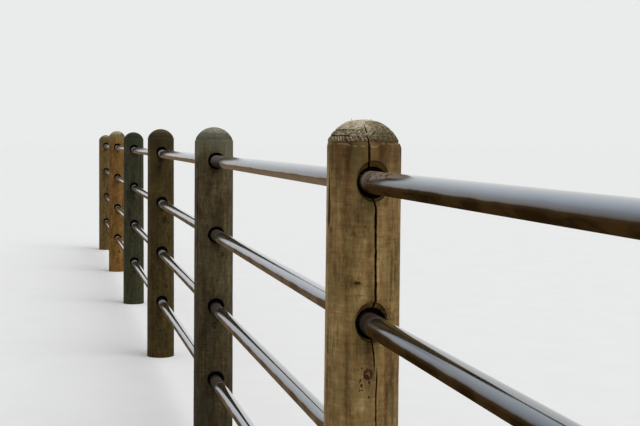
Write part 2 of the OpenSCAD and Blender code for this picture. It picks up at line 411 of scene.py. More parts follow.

# Marks of the post in front. Swell and rough are the side's wear, knots are [turn, height, half-width,
# half-height, strength], facets [turn, half-width in degrees, least height, share of a true flat], bands
# [turn, half-width, lightness], wear of the side's top edge [turn, height, depth, drop of the painted
# highlight line under it], fibres [turn, phi, length] and stains [turn, height, half-width in degrees,
# half-height, darkness]. The pale bands on the post's outline are painted rim light, and one stain is a
# painted shadow. The dome is shifted, leans, is fuller at [turn, amount], and has its cutter's rows and its
# moss at a turn of their own.
NEAR_MARKS = dict(
    swell=0.0001, rough=0.0004,
    knots=[(-5.6, 0.881, 0.0092, 0.0108, 1.0), (-8.4, 0.8755, 0.0050, 0.0052, 1.0),
           (-15.3, 0.895, 0.0026, 0.0029, 0.75), (-17.3, 0.867, 0.0026, 0.0052, 0.7),
           (-15.6, 0.856, 0.0034, 0.0054, 0.8), (-3.9, 0.863, 0.0026, 0.0042, 0.8),
           (-18.0, 0.844, 0.0021, 0.0022, 0.75), (-15.0, 0.845, 0.0023, 0.0022, 0.75),
           (-4.9, 0.829, 0.0021, 0.0030, 0.7), (-23.2, 1.0855, 0.0115, 0.0064, 0.55),
           (12.0, 1.188, 0.019, 0.0010, 0.5), (13.5, 1.166, 0.008, 0.0010, 0.5),
           (11.5, 1.139, 0.017, 0.0010, 0.5), (-20.0, 1.058, 0.022, 0.0008, 0.4),
           (-34.0, 1.192, 0.020, 0.0008, 0.4), (-20.6, 1.0865, 0.0034, 0.0026, 0.75),
           (-27.2, 1.085, 0.0030, 0.0024, 0.65), (-13.0, 1.212, 0.0018, 0.0022, 0.8),
           (70, 0.90, 0.010, 0.014, 0.8), (128, 0.50, 0.011, 0.016, 0.9), (-150, 1.10, 0.010, 0.014, 0.9),
           (-80, 0.52, 0.009, 0.012, 0.8), (170, 0.86, 0.009, 0.014, 0.9), (-5, 0.47, 0.009, 0.012, 0.7)],
    facets=[(35.5, 15, 0.85, 0.5), (-150, 14, 0.3, 1)],
    # The pale bands at 69, -87 and -97 degrees lie on the post's outline as the camera sees it: painted rim
    # light
    bands=[(13, 9, 0.7), (35, 14, 0.1), (-97, 9, 1.3), (-60, 12, 0.15), (24, 3, -0.4), (-40, 4, -0.35),
           (-62, 3, -0.35), (150, 20, 0.3), (-170, 8, -0.4), (69, 5, 1.0), (-87, 4, 0.9)],
    wear=[(-180, 0.004, 0.0010, 0.002), (-110, 0.012, 0.0014, 0.002), (-75, 0.003, 0.0008, 0.002),
          (-42, 0.003, 0.0008, 0.002), (-36, 0.006, 0.0010, 0.006), (-8, 0.008, 0.0012, 0.008),
          (4, 0.008, 0.0012, 0.007), (8, 0.008, 0.0014, 0.001), (50, 0.010, 0.0030, 0.001),
          (75, 0.014, 0.0046, 0.001), (100, 0.014, 0.0046, 0.003), (130, 0.008, 0.0030, 0.004)],
    fibres=[(-118, 0.33, 0.0065), (40, 0.2, 0.003), (-60, 0.5, 0.003), (150, 0.3, 0.004)],
    stains=[(11, 1.376, 9, 0.034, 2.3), (-34, 1.372, 8, 0.030, 0.9), (-100, 1.385, 20, 0.010, 1.2),
            (-14, 1.370, 7, 0.030, 0.6), (-60, 1.335, 5, 0.020, 0.9), (-38, 1.330, 5, 0.018, 0.6),
            (-62, 1.30, 7, 0.022, 0.8), (-45, 1.22, 14, 0.035, 0.5), (-75, 1.20, 8, 0.04, 0.7),
            (-52, 1.14, 16, 0.025, 0.8), (-20, 1.17, 9, 0.03, -0.6), (-28, 1.084, 9, 0.010, 0.7),
            (-70, 1.06, 4, 0.012, 0.7), (-18, 1.05, 9, 0.02, -0.8), (-50, 1.02, 12, 0.03, -0.5),
            (35, 1.105, 2.4, 0.035, 2.4), (44, 1.10, 2.0, 0.022, 2.0), (27, 1.18, 3, 0.05, 1.0),
            (-82, 0.945, 4, 0.022, 1.5), (-38, 0.86, 3.2, 0.09, 0.9), (-28, 0.93, 7, 0.03, -0.5),
            (-14, 0.80, 10, 0.03, -0.2), (-64, 0.89, 8, 0.012, 0.6), (-83, 0.86, 4, 0.09, 0.8),
            (26, 0.84, 3, 0.08, 0.5), (17, 0.86, 4, 0.09, -0.2), (40, 0.79, 2.5, 0.05, 1.0),
            (36, 0.90, 3, 0.05, 0.6), (2, 0.905, 8, 0.02, 0.8), (-52, 0.86, 26, 0.13, -0.5),
            (-12, 0.84, 14, 0.10, -0.5), (-24, 1.055, 12, 0.022, -0.7), (-30, 1.30, 10, 0.05, -0.3),
            # The last stain below, at 17.6 degrees just under the top facing, is a painted shadow
            (32, 0.85, 20, 0.10, 0.9), (22, 1.14, 6, 0.09, -0.4), (17.6, 1.2635, 5, 0.0045, 2.6)],
    dome_shift=(-0.0009, -0.0015), dome_lean=0.0025, dome_full=(-100, 0.0032), rows_turn=-65,
    moss_turn=70)


def worn_edge_and_highlight(post, angle):
    """Height and depth of the wear round the side's top edge, and how far down its painted highlight line is
    """
    turns = np.array(post.wear)[:, 0]
    rough = noise(np.cos(angle) * 9, np.sin(angle) * 9, 0, post.seed + 3)
    height, depth, line = (np.interp(np.degrees(angle), turns, values, period=360)
                           for values in np.array(post.wear).T[1:])
    return height * (0.8 + 0.4 * rough), depth * (0.7 + 0.6 * rough), line * (0.8 + 0.4 * rough)


def side_depth(post, angle, z):
    """How far the post's worn side lies inside its turned form"""
    r = POST_TOP_R
    x, y, s = np.cos(angle) * r, np.sin(angle) * r, post.seed
    depth = post.swell * (1 + np.sin(2 * angle + s + 0.6 * np.sin(2.1 * z + s)))
    depth += post.rough * layered(x / GRAIN[0], y / GRAIN[0], z / GRAIN[1], s + 1)
    depth += 0.7 * post.rough * noise(x / FINE_GRAIN[0], y / FINE_GRAIN[0], z / FINE_GRAIN[1], s + 2)
    for turn, half_width, least_z, share in post.facets:
        half = math.radians(half_width)
        off = np.clip(from_turn(angle, turn), -half, half)
        depth += share * r * (1 - math.cos(half) / np.cos(off)) * smooth(z, least_z, least_z + FACET_FADE)
    for turn, height, half_w, half_h, strength in post.knots:
        if half_w > BULGING_KNOT:
            across = from_turn(angle, turn) * r
            q2 = (across / half_w)**2 + ((z - height) / half_h)**2
            depth += strength * (KNOT_DIP * np.exp(-q2 * 2.0) - KNOT_RISE * np.exp(-q2 / 3.0))
    height, worn, _ = worn_edge_and_highlight(post, angle)
    depth += worn * np.clip((z - post.shoulder_z + height) / height, 0, 1)**2
    return np.maximum(depth, 0)


def moss_share(post, angle, phi):
    """How mossy the dome is, which is more on one side"""
    plan = np.sin(phi) / math.sin(DOME_ANGLE)
    patchy = noise(np.cos(angle) * plan * 3, np.sin(angle) * plan * 3, 0, post.seed + 18)
    toward = plan * np.cos(angle - math.radians(post.moss_turn))
    return smooth(toward + 0.8 * (patchy - 0.5), -0.1, 0.7) * smooth(plan, 0.25, 0.50)


def dome_rows(post, angle, phi):
    """Depth of the cutter's rows, and the share of depth of the torn strokes that lean across them"""
    arc, plan = (DOME_ANGLE - phi) * DOME_R, DOME_R * np.sin(phi)
    along = arc + 0.003 * (flat_noise(angle, plan, 0.03, post.seed + 11) - 0.5)
    row = np.clip(np.searchsorted(DOME_ROWS, along) - 1, 0, len(DOME_ROWS) - 2)
    share = np.clip((along - DOME_ROWS[row]) / (DOME_ROWS[row + 1] - DOME_ROWS[row]), 0, 1)
    clean = smooth(flat_noise(angle, plan, 0.04, post.seed + 12), 0.25, 0.55)
    clean = clean * smooth(np.abs(from_turn(angle, post.rows_turn)), ROWS_END, ROWS_SPAN)
    rows = (ROW_DEPTH - ROW_STEP * row) * share**5 * clean * (row < 2)

    lean = TICK_LEANS[row] * (along - DOME_ROWS[row]) / np.maximum(plan, 0.02)
    uneven = noise(angle * 6, row * 7.0, 0, post.seed + 19)
    ticks = smooth(np.sin((angle - lean) * TICKS + 7 * uneven), -0.15, -0.8)
    ticks = ticks * smooth(share, 0.03, 0.2) * smooth(share, 1.0, 0.8) * (arc < DOME_ROWS[2])
    return rows, ticks * smooth(noise(angle * 14, along / 0.004, row * 3.0, post.seed + 20), 0.25, 0.5)


def dome_marks(post, angle, phi):
    """Depths of the cutter's rows, and of the torn fibres and pits, below the dome's sphere"""
    rows, ticks = dome_rows(post, angle, phi)
    plan, up, s = DOME_R * np.sin(phi), DOME_R * np.cos(phi), post.seed
    x, y = np.cos(angle) * plan, np.sin(angle) * plan
    turned = angle + 12 * (flat_noise(angle, plan, 0.03, s + 10) - 0.4) * (DOME_ANGLE - phi) * DOME_R
    tx, ty = np.cos(turned) * plan, np.sin(turned) * plan
    moss = moss_share(post, angle, phi)
    torn = smooth(noise(tx / 0.0034, ty / 0.0034, up / 0.009, s + 13), 0.60, 0.36)
    fine = noise(tx / 0.0017, ty / 0.0017, up / 0.005, s + 14)
    pits = smooth(noise(x / 0.006, y / 0.006, up / 0.008, s + 15), 0.62, 0.80) * (0.30 + 0.70 * moss)
    crown = smooth(phi, 0.95, 0.75) * post.near
    strokes = NEAR_TICK_DEPTH if post.near else TICK_DEPTH
    return rows, (strokes * ticks * (1 - 0.6 * moss) + 0.0005 * fine + 0.0013 * pits
                  + 0.0006 * torn * (0.3 + 0.7 * np.maximum(moss, crown)))


def dome_fullness(post, angle):
    """How much fuller than its sphere the dome is, towards one side"""
    turn, amount = post.dome_full
    return amount * (0.35 + 0.65 * np.exp(-(from_turn(angle, turn) / 1.4)**2))


def dome_depth(post, angle, phi):
    plan = DOME_R * np.sin(phi)
    swell = 0.0009 * flat_noise(angle, plan, 0.045, post.seed + 16)
    chipped = smooth(flat_noise(angle, plan, 0.011, post.seed + 17), 0.55, 0.85)
    rim = 0.0022 * chipped * smooth(phi, DOME_ANGLE - 0.07, DOME_ANGLE)
    full = dome_fullness(post, angle) * smooth(phi, 0.10, 0.50)
    return sum(dome_marks(post, angle, phi)) + swell + rim - full


def side_point(post, angle, z):
    return ring_round(angle, post.side_r(z) - side_depth(post, angle, z), z)


def dome_point(post, angle, phi):
    r = DOME_R - dome_depth(post, angle, phi)
    dx, dy = post.dome_shift
    dy = dy + post.dome_lean * (1 - np.sin(phi) / math.sin(DOME_ANGLE))
    return ring_round(angle, r * np.sin(phi), post.top_z - DOME_R + r * np.cos(phi), dx, dy)


def neck_rings(post, angles):
    """Rings up the shallow neck, from the worn shoulder to just under the dome's foot"""
    rings = []
    for share, step in ((0, 0.0003), (0.3, 0.0010), (0.7, 0.0013), (0.95, 0.0009)):
        z = post.shoulder_z + share * NECK_H
        rough = 0.0007 * noise(np.cos(angles) * 5, np.sin(angles) * 5, z / 0.004, post.seed + 21)
        r = NECK_R - step - rough + 0.7 * dome_fullness(post, angles)
        rings.append(ring_round(angles, r, z, *post.dome_shift))
    return rings


def stitch(outer, inner):
    """Triangles between two closed rings of points that start at the same angle"""
    faces, i, j = [], 0, 0
    a, b = len(outer), len(inner)
    while i < a or j < b:
        if j == b or (i < a and (i + 1) * b <= (j + 1) * a):
            faces.append((outer[i % a], outer[(i + 1) % a], inner[j % b]))
            i += 1
        else:
            faces.append((outer[i % a], inner[(j + 1) % b], inner[j % b]))
            j += 1
    return faces


def post_rings(post, across, along, dome_cell):
    """Rings of points up the post, and the numbers of those that begin the neck and the dome"""
    angles = ring_angles(round(2 * math.pi * POST_TOP_R / across))
    fine_from = post.shoulder_z - FINE_H
    rows = np.concatenate([np.linspace(0, fine_from, round(fine_from / along), endpoint=False),
                           np.linspace(fine_from, post.shoulder_z, round(FINE_H / (across * 0.6)) + 1)])
    rings = [side_point(post, angles, np.full(len(angles), z)) for z in rows]
    neck = len(rings)
    rings += neck_rings(post, angles)
    dome = len(rings)
    steps = round(DOME_ANGLE * DOME_R / dome_cell)
    for phi in np.linspace(DOME_ANGLE, 0, steps, endpoint=False):
        count = max(6, round(2 * math.pi * DOME_R * math.sin(phi) / dome_cell))
        rings.append(dome_point(post, ring_angles(count), np.full(count, phi)))
    return rings, neck, dome


def post_mesh(post, across, along, dome_cell):
    """The post's closed surface before it is drilled"""
    rings, neck, dome = post_rings(post, across, along, dome_cell)
    starts = np.cumsum([0] + [len(ring) for ring in rings])
    index = [list(range(starts[n], starts[n + 1])) for n in range(len(rings))]
    apex, foot = starts[-1], starts[-1] + 1
    points = np.concatenate(rings + [dome_point(post, np.zeros(1), np.zeros(1)), np.zeros((1, 3))])
    first, last = index[0], index[-1]
    faces = [(first[(c + 1) % len(first)], first[c], foot) for c in range(len(first))]
    kinds = [FACING if post.faced else CUT] * len(faces)
    for n, (low, high) in enumerate(zip(index, index[1:])):
        strip = band(low[0], high[0], len(low)) if len(low) == len(high) else stitch(low, high)
        faces += strip
        kinds += [TOP if n >= dome - 1 else SIDE] * len(strip)
    faces += [(last[c], last[(c + 1) % len(last)], apex) for c in range(len(last))]
    kinds += [TOP] * len(last)
    return new_mesh(post, "timber", points, faces, kinds)


def new_mesh(post, name, points, faces, kinds):
    """A mesh whose faces have the post's materials at the places given by kinds"""
    mesh = bpy.data.meshes.new(f"{post.name}_{name}")
    mesh.from_pydata(np.asarray(points).tolist(), [], faces)
    for material in post.materials:
        mesh.materials.append(material)
    mesh.polygons.foreach_set("material_index", np.array(kinds, dtype=np.int32))
    return mesh


def band(low, high, count):
    """Faces between two rings of count points each that start at the numbers low and high"""
    return [(low + c, low + (c + 1) % count, high + (c + 1) % count, high + c) for c in range(count)]


def tube_of_rings(rings):
    """Points and faces of a closed form: rings of equal counts, with a face at each end"""
    count = len(rings[0])
    faces = [tuple(range(count))[::-1]]
    for n in range(len(rings) - 1):
        faces += band(n * count, (n + 1) * count, count)
    faces.append(tuple(range((len(rings) - 1) * count, len(rings) * count)))
    return np.concatenate(rings), faces


def bore_cutter(post, k):
    """A round bar along the fence, a little rough, that drills the post for rail k

    The bore is wide at its two mouths and close round the tube between them.
    """
    angles = ring_angles(BORE_SIDES)
    reach = post.base_r + PAST
    seed = post.seed + 40 + k
    mouth = np.linspace(MOUTH_FROM + 0.001, reach, MOUTH_RINGS)
    inner = np.linspace(-MOUTH_FROM, MOUTH_FROM, INNER_RINGS)
    rings = []
    for x in [*-mouth[::-1], *inner, *mouth]:
        wide = abs(x) > MOUTH_FROM
        rough = noise(np.cos(angles) * 7 + 9, np.sin(angles) * 7 + 9, x / 0.008, seed)
        r = BORE_R + BORE_ROUGH * rough if wide else TUBE_R + CLOSE_GAP + 0 * rough
        z = post.bore_z(k) if wide else RAIL_Z[k]
        rings.append(ring_along(angles, x, r, z))
    return tube_of_rings(rings)


def facing_cutter(post, k):
    """A ball, a little rough, that dishes the near side round the bore of rail k"""
    angles = ring_angles(FACING_SIDES)
    (centre_x, centre_z), radius = post.facing(k)
    seed = post.seed + 50 + k
    rings = []
    for turn in np.linspace(FACING_START, math.pi - FACING_START, FACING_RINGS):
        rough = noise(np.cos(angles) * 6 + 9, np.sin(angles) * 6 + 9, turn / 0.12, seed)
        r = radius - FACING_ROUGH * rough
        rings.append(ring_along(angles, centre_x - r * math.cos(turn), r * math.sin(turn), centre_z))
    return tube_of_rings(rings)


def check_cutter(post, turn, depth, path):
    """A jagged wedge that follows a check's path and narrows inwards"""
    path = np.array(path)
    heights = np.arange(path[0, 0], path[-1, 0], -CHECK_STEP)
    heights = np.append(heights, path[-1, 0])
    offset = np.interp(-heights, -path[:, 0], path[:, 1])
    width = np.interp(-heights, -path[:, 0], path[:, 2])
    tips = len(heights)
    seed = post.seed + 60 + int(turn) % 37
    jag = noise(heights / 0.011, 0, 0, seed) - 0.5
    fine = noise(heights / 0.006, 5, 0, seed) - 0.5
    ends = np.minimum(np.arange(tips), np.arange(tips)[::-1]) > 0
    middle = offset + CHECK_STRAY * jag * ends
    half = width * (0.85 + 0.4 * fine * ends)
    near_x, far_x = POST_TOP_R - depth, post.base_r + PAST
    rings = []
    for z, m, h in zip(heights, middle, half):
        rings.append(np.array([[near_x, m - 0.5 * h, z], [far_x, m - h, z],
                               [far_x, m + h, z], [near_x, m + 0.5 * h, z]]))
    points, faces = tube_of_rings(rings)
    turned = points @ np.array(Matrix.Rotation(math.radians(turn), 3, "Z")).T
    return turned, faces


def new_object(name, data):
    """An object in the scene"""
    made = bpy.data.objects.new(name, data)
    bpy.context.scene.collection.objects.link(made)
    return made


def form_object(post, name, forms, kind):
    """One object of several closed forms that don't touch, with their faces turned outwards"""
    points, faces, start = [], [], 0
    for form_points, form_faces in forms:
        points.append(form_points)
        faces += [tuple(start + v for v in face) for face in form_faces]
        start += len(form_points)
    mesh = new_mesh(post, name, np.concatenate(points), faces, [kind] * len(faces))
    outward = bmesh.new()
    outward.from_mesh(mesh)
    bmesh.ops.recalc_face_normals(outward, faces=outward.faces)
    outward.to_mesh(mesh)
    outward.free()
    return new_object(mesh.name, mesh)


def post_cutters(post):
    """Objects that cut the checks, the bores and the facings; the forms in one object don't touch"""
    rails = range(len(RAILS))
    checks = [check_cutter(post, *check) for check in post.checks()]
    groups = [(checks[0::2], CUT), (checks[1::2], CUT)]
    if post.faced:
        groups.append(([facing_cutter(post, k) for k in rails], FACING))
    groups.append(([bore_cutter(post, k) for k in rails], CUT))
    return [form_object(post, f"cutter_{n}", forms, kind) for n, (forms, kind) in enumerate(groups)]


def drill(made, cutters):
    """Cuts each cutter out of an object's mesh, and removes the cutters"""
    for cutter in cutters:
        modifier = made.modifiers.new(cutter.name, "BOOLEAN")
        modifier.operation = "DIFFERENCE"
        modifier.solver = "MANIFOLD"
        modifier.object = cutter
    bpy.context.view_layer.update()
    depsgraph = bpy.context.evaluated_depsgraph_get()
    mesh = bpy.data.meshes.new_from_object(made.evaluated_get(depsgraph))
    made.modifiers.clear()
    blank = made.data
    made.data = mesh
    bpy.data.meshes.remove(blank)
    for cutter in cutters:
        bpy.data.objects.remove(cutter)


def mark(mesh, name, values):
    """Stores one number a point, which a material reads by its name"""
    layer = mesh.attributes.new(name, "FLOAT", "POINT")
    layer.data.foreach_set("value", values.astype(np.float32))


def mark_timber(post, mesh):
    """Stores at each point what the timber's materials read"""
    points = np.zeros(3 * len(mesh.vertices))
    mesh.vertices.foreach_get("co", points)
    x, y, z = points.reshape(-1, 3).T
    dx, dy = post.dome_shift
    angle = np.arctan2(y, x)
    phi = np.clip(np.arctan2(np.hypot(x - dx, y - dy), z - (post.top_z - DOME_R)), 0, DOME_ANGLE)
    dome_angle = np.arctan2(y - dy, x - dx)
    rows, torn = dome_marks(post, dome_angle, phi)
    # How deep a point lies in the rows and torn fibres, which the dome's material darkens as painted shade
    # and dirt
    mark(mesh, "hollow", np.clip(rows / ROW_DEPTH + torn / DARKEST, 0, 1))
    mark(mesh, "moss", moss_share(post, dome_angle, phi))
    # Height above the painted highlight line just under the side's top edge
    mark(mesh, "edge", z - post.shoulder_z + worn_edge_and_highlight(post, angle)[2])
    mark(mesh, "bend", grain_bend(post, angle, z))
    # Tone of the side: bands, some of them painted rim light; paler check lips; darkening round the bore
    # mouths; and stains, one of them a painted shadow
    mark(mesh, "tone", tone_and_rim_light_bands(post, angle, z) + check_lips(post, x, y, z)
         - bore_darkening(post, x, y, z) - stains(post, angle, z))
    # Points in a bore, which the cut material keeps nearly black as painted shade
    bores = [np.hypot(y, z - post.bore_z(k)) for k in range(len(RAILS))]
    mark(mesh, "bore", 1.0 * (np.min(bores, axis=0) < BORE_R + 0.004))
    if post.faced:
        # Distance from each facing's middle, where 1 is its rim, for the painted shadow line there
        rim = [np.hypot(y / (FACING_W / 2), (z - post.bore_z(k) - FACING_RISE) / (FACING_H / 2))
               for k in range(len(RAILS))]
        mark(mesh, "rim", np.min(rim, axis=0))


def grain_bend(post, angle, z):
    """How far the grain turns aside round the knots"""
    bend = np.zeros(len(z))
    for turn, height, half_w, half_h, strength in post.knots:
        across = from_turn(angle, turn) * POST_TOP_R
        reach = np.exp(-(across / (3.5 * half_w))**2 - ((z - height) / (2.4 * half_h))**2)
        push = strength * 0.8 * half_w * across / (np.abs(across) + 0.5 * half_w)
        bend -= push * reach / POST_TOP_R
    return bend


def tone_and_rim_light_bands(post, angle, z):
    # Pale and dark bands up the side; on the post in front the pale ones on its outline are painted rim
    # light
    tone = np.zeros(len(z))
    for n, (turn, half_width, amount) in enumerate(post.bands):
        off = from_turn(angle, turn) / math.radians(half_width)
        tone += amount * np.exp(-off**2) * (0.7 + 0.6 * noise(z / 0.25, n, 0, post.seed + 70))
    return tone


def stains(post, angle, z):
    """Darkness of the single stains, and of the painted shadow among those of the post in front, less than 0
    where one is pale
    """
    dark = np.zeros(len(z))
    for n, (turn, height, half_w, half_h, amount) in enumerate(post.stains):
        ragged = 0.6 + 0.8 * noise(angle * 11, z / 0.012, n, post.seed + 80)
        across = from_turn(angle, turn) / math.radians(half_w)
        dark += amount * ragged * np.exp(-across**2 - ((z - height) / half_h)**2)
    return dark


def check_lips(post, x, y, z):
    """Paler wood along one lip of each drying check"""
    pale = np.zeros(len(z))
    for turn, _, path in post.checks():
        cos, sin = math.cos(math.radians(turn)), math.sin(math.radians(turn))
        heights, offsets, widths = np.array(path).T
        lip = np.interp(-z, -heights, offsets + widths) + 0.0012
        beside = np.exp(-((y * cos - x * sin - lip) / 0.0018)**2)
        pale += beside * (z < heights[0]) * (z > heights[-1]) * (x * cos + y * sin > 0)
    return 0.9 * pale


def bore_darkening(post, x, y, z):
    """Darkening in a ring round the mouths of the bores, and stains that run down below them"""
    half_w, half_h = (FACING_W / 2, FACING_H / 2) if post.faced else (BORE_R, BORE_R)
    stain = np.zeros(len(z))
    for k in range(len(RAILS)):
        up = z - post.bore_z(k) - (FACING_RISE if post.faced else 0)
        rim = np.hypot(y / half_w, up / half_h) - 1
        below = np.exp(-(y / 0.020)**2) * smooth(up, -half_h - 0.045, -half_h)
        stain += 0.7 * np.exp(-(rim / 0.10)**2) + 1.3 * below * (up < 0)
    return np.clip(stain, 0, 2) * (np.abs(x) > 0.03)


def stand(made, x, z):
    """Stands a piece in the fence, on its one body"""
    made.location = (x, 0, z)
    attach(made, "root")


def build_post(post):
    post.materials = post_materials(post)
    cells = NEAR_CELLS if post.near else CELLS
    made = new_object(f"{post.name}_timber", post_mesh(post, *cells))
    drill(made, post_cutters(post))
    mark_timber(post, made.data)
    made.data.shade_smooth()
    made.data.set_sharp_from_angle(angle=TIMBER_EDGE)
    stand(made, post.axis_x, 0)
    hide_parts(post.name)
    build_fibres(post)


def fibre(root, out, length):
    """A short torn splinter that stands up from a point and bends over"""
    side = np.cross(out, [0, 0.3, 1.0])
    side /= np.linalg.norm(side)
    other = np.cross(out, side)
    rings = []
    for t, wide in ((-0.5, 0.0016), (0.3, 0.0014), (0.75, 0.0009), (1.0, 0.0003)):
        centre = root + out * t * length + side * 0.25 * length * max(t, 0)**2
        rings.append(np.array([centre + wide * (math.cos(a) * side + 0.55 * math.sin(a) * other)
                               for a in ring_angles(6)]))
    return tube_of_rings(rings)


def build_fibres(post):
    forms = []
    for turn, phi, length in post.fibres:
        a = math.radians(turn)
        root = dome_point(post, np.array([a]), np.array([phi]))[0]
        out = np.array([math.sin(phi) * math.cos(a), math.sin(phi) * math.sin(a), 1.0])
        forms.append(fibre(root, out / np.linalg.norm(out), length))
    made = form_object(post, "fibres", forms, TOP)
    mark(made.data, "hollow", np.zeros(len(made.data.vertices)))
    stand(made, post.axis_x, 0)


def tube_profile(low_x, high_x):
    """[place along the tube, radius] round the section of its wall, with the ends' edges broken"""
    inner = TUBE_R - TUBE_WALL
    spans = max(2, round((high_x - low_x) / TUBE_STEP))
    run = np.linspace(low_x + TUBE_EDGE, high_x - TUBE_EDGE, spans + 1)
    return [*((x, TUBE_R) for x in run), (high_x, TUBE_R - TUBE_EDGE), (high_x, inner + TUBE_EDGE),
            *((x, inner) for x in run[::-1]), (low_x, inner + TUBE_EDGE), (low_x, TUBE_R - TUBE_EDGE)]


def build_tube(node, axis_z, film_top, dust):
    """A smooth open tube with square-cut ends"""
    low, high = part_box(node)
    profile = tube_profile(low.x, high.x)
    angles = ring_angles(TUBE_SIDES)
    points = np.concatenate([ring_along(angles, x, r) for x, r in profile])
    faces = []
    for n in range(len(profile)):
        faces += band(n * TUBE_SIDES, (n + 1) % len(profile) * TUBE_SIDES, TUBE_SIDES)
    mesh = bpy.data.meshes.new(node)
    mesh.from_pydata(points.tolist(), [], faces)
    mesh.shade_smooth()
    mesh.set_sharp_from_angle(angle=STEEL_EDGE)
    mesh.materials.append(STEEL)
    for name, value in (("shine", SHINE.get(node, FAR_SHINE)), ("film_top", film_top), ("dust", dust)):
        mark(mesh, name, np.full(len(points), value))
    made = new_object(f"{node}_tube", mesh)
    stand(made, 0, axis_z)
    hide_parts(node)


def srgb(red, green, blue):
    """A colour as seen on a screen, 0 to 255, as the linear colour that shaders take"""
    parts = [c / 255 for c in (red, green, blue)]
    return tuple(c / 12.92 if c <= 0.04045 else ((c + 0.055) / 1.055)**2.4 for c in parts) + (1.0,)


def shader_tones(table):
    """The table's colours as shaders take them, and its single numbers as they are"""
    return {name: srgb(*value) if isinstance(value, tuple) else value for name, value in table.items()}


class Field:
    """A value that nodes work out at each point, and what can be done with it"""

    def __init__(self, maker, socket):
        self.maker, self.socket = maker, socket

    def __add__(self, other):
        return self.maker.math("ADD", self, other)

    def __sub__(self, other):
        return self.maker.math("SUBTRACT", self, other)

    def __rsub__(self, other):
        return self.maker.math("SUBTRACT", other, self)

    def __mul__(self, other):
        return self.maker.math("MULTIPLY", self, other)

    __radd__, __rmul__ = __add__, __mul__

    def least(self, other):
        return self.maker.math("MINIMUM", self, other)

    def most(self, other):
        return self.maker.math("MAXIMUM", self, other)

    def off(self, other):
        """How far it is from another value, either way"""
        return self.maker.math("ABSOLUTE", self - other)

    def swing(self, amount):
        """A field from 0 to 1 turned into one that goes from -amount / 2 to amount / 2"""
        return self.maker.math("MULTIPLY_ADD", self, amount, -amount / 2)

    def smooth(self, low, high):
        """0 at low, 1 at high and a smooth step between them, where low may be the greater"""
        values = {"Value": self, "From Min": low, "From Max": high}
        return self.maker.field("MapRange", values, interpolation_type="SMOOTHSTEP")

    def part(self, axis):
        return self.maker.field("SeparateXYZ", {0: self}, axis)

    def length(self):
        return self.maker.field("VectorMath", {0: self}, "Value", operation="LENGTH")

    def stretch(self, x, y, z):
        return self.maker.field("Mapping", {"Vector": self, "Scale": (x, y, z)})

    def turn(self, angle):
        return self.maker.field("VectorRotate", {"Vector": self, "Angle": angle}, rotation_type="Z_AXIS")


class Nodes:
    """A node tree whose nodes are added and joined in one step

    A value is a number, a colour, a socket or a field.
    """

    def __init__(self, tree):
        self.tree = tree

    def put(self, socket, value):
        value = getattr(value, "socket", value)
        if isinstance(value, bpy.types.NodeSocket):
            self.tree.links.new(value, socket)
        else:
            socket.default_value = value

    def node(self, kind, values=(), **settings):
        made = self.tree.nodes.new("ShaderNode" + kind)
        for name, value in settings.items():
            setattr(made, name, value)
        for name, value in dict(values).items():
            self.put(made.inputs[name], value)
        return made

    def field(self, kind, values=(), output=0, **settings):
        """What a new node gives at one of its outputs"""
        return Field(self, self.node(kind, values, **settings).outputs[output])

    def math(self, operation, *values):
        return self.field("Math", enumerate(values), operation=operation)

    def vectors(self, operation, first, second):
        return self.field("VectorMath", {0: first, 1: second}, operation=operation)

    def noise(self, vector, scale, detail=2.0, roughness=0.5, offset=0.0):
        location = (offset, offset * 0.7, offset * 0.3)
        moved = self.field("Mapping", {"Vector": vector, "Location": location})
        values = {"Vector": moved, "Scale": scale, "Detail": detail, "Roughness": roughness}
        return self.field("TexNoise", values, "Fac")

    def ramp(self, value, *stops):
        made = self.node("ValToRGB", {"Fac": value})
        elements = made.color_ramp.elements
        while len(elements) < len(stops):
            elements.new(0.5)
        for element, (position, colour) in zip(elements, stops):
            element.position = position
            element.color = colour
        return Field(self, made.outputs["Color"])

    def mix(self, share, first, second):
        return self.field("Mix", {0: share, 6: first, 7: second}, 2, data_type="RGBA")


class Material(Nodes):
    def __init__(self, name):
        self.made = bpy.data.materials.new(name)
        self.made.use_nodes = True
        super().__init__(self.made.node_tree)

    def finish(self, colour, roughness, specular, bump=None, metallic=0.0):
        """Sets the shader, where bump is [height, strength, distance]"""
        values = {"Base Color": colour, "Roughness": roughness, "Specular IOR Level": specular,
                  "Metallic": metallic}
        if bump:
            values["Normal"] = self.field("Bump", dict(zip(("Height", "Strength", "Distance"), bump)))
        for name, value in values.items():
            self.put(self.tree.nodes["Principled BSDF"].inputs[name], value)
        return self.made

    def place(self):
        return self.field("TexCoord", output="Object")

    def marked(self, name):
        return self.field("Attribute", output="Fac", attribute_name=name)

    def wave(self, vector, seed):
        """A small sideways shift that changes slowly along the grain"""
        slow = self.field("Mapping", {"Vector": vector, "Location": (seed, 0, seed), "Scale": (1, 1, 0.35)})
        shift = self.field("TexNoise", {"Vector": slow, "Scale": 22.0, "Detail": 1.0}, "Color")
        centred = self.vectors("SUBTRACT", shift, (0.5, 0.5, 0.5))
        return self.vectors("MULTIPLY", centred, (0.012, 0.012, 0))


def post_materials(post):
    """The post's materials, in the order of their places"""
    tone = shader_tones(TONES[SLOTS[post.name]])
    made = [side_material(post, tone), top_material(post, tone), cut_material(post, tone)]
    if post.faced:
        made.append(facing_material(post, tone))
    return made


